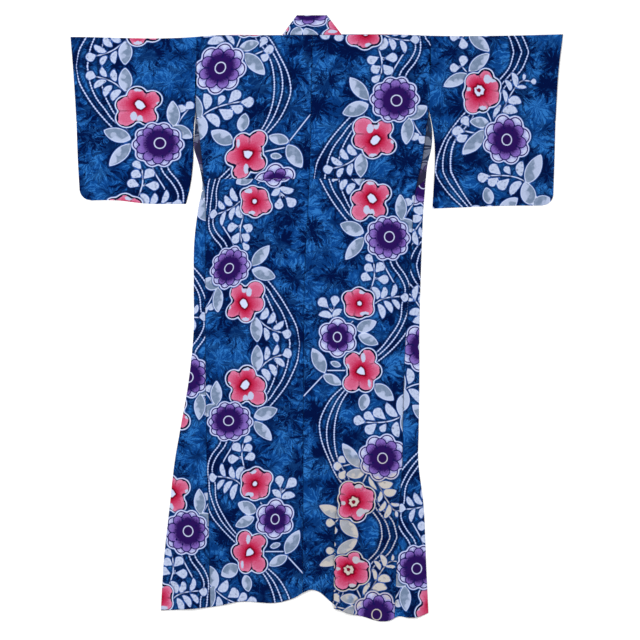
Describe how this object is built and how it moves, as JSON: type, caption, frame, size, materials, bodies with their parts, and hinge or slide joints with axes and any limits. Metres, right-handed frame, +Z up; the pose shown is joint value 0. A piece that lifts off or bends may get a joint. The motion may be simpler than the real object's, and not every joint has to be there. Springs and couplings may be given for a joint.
{
  "type": "cotton yukata kimono",
  "caption": "Cotton yukata laid flat with its back up: two straight body lengths, square sleeves, overlap panels beneath and a collar band.",
  "frame": {"origin": "centre of the garment's outline, on the surface that it lies on", "axes": "+X towards the sleeve on the picture's right, +Y up the garment to the collar, +Z up from the surface, out of the back"},
  "size_m": [1.304, 1.606, 0.0138],
  "materials": {
    "dyed_cotton": "matte indigo dyed cotton"
  },
  "bodies": {
    "root": {"body_left": "dyed_cotton", "body_right": "dyed_cotton", "sleeve_left": "dyed_cotton", "sleeve_right": "dyed_cotton", "overlap_left": "dyed_cotton", "overlap_right": "dyed_cotton", "collar": "dyed_cotton"}
  },
  "joints": []
}
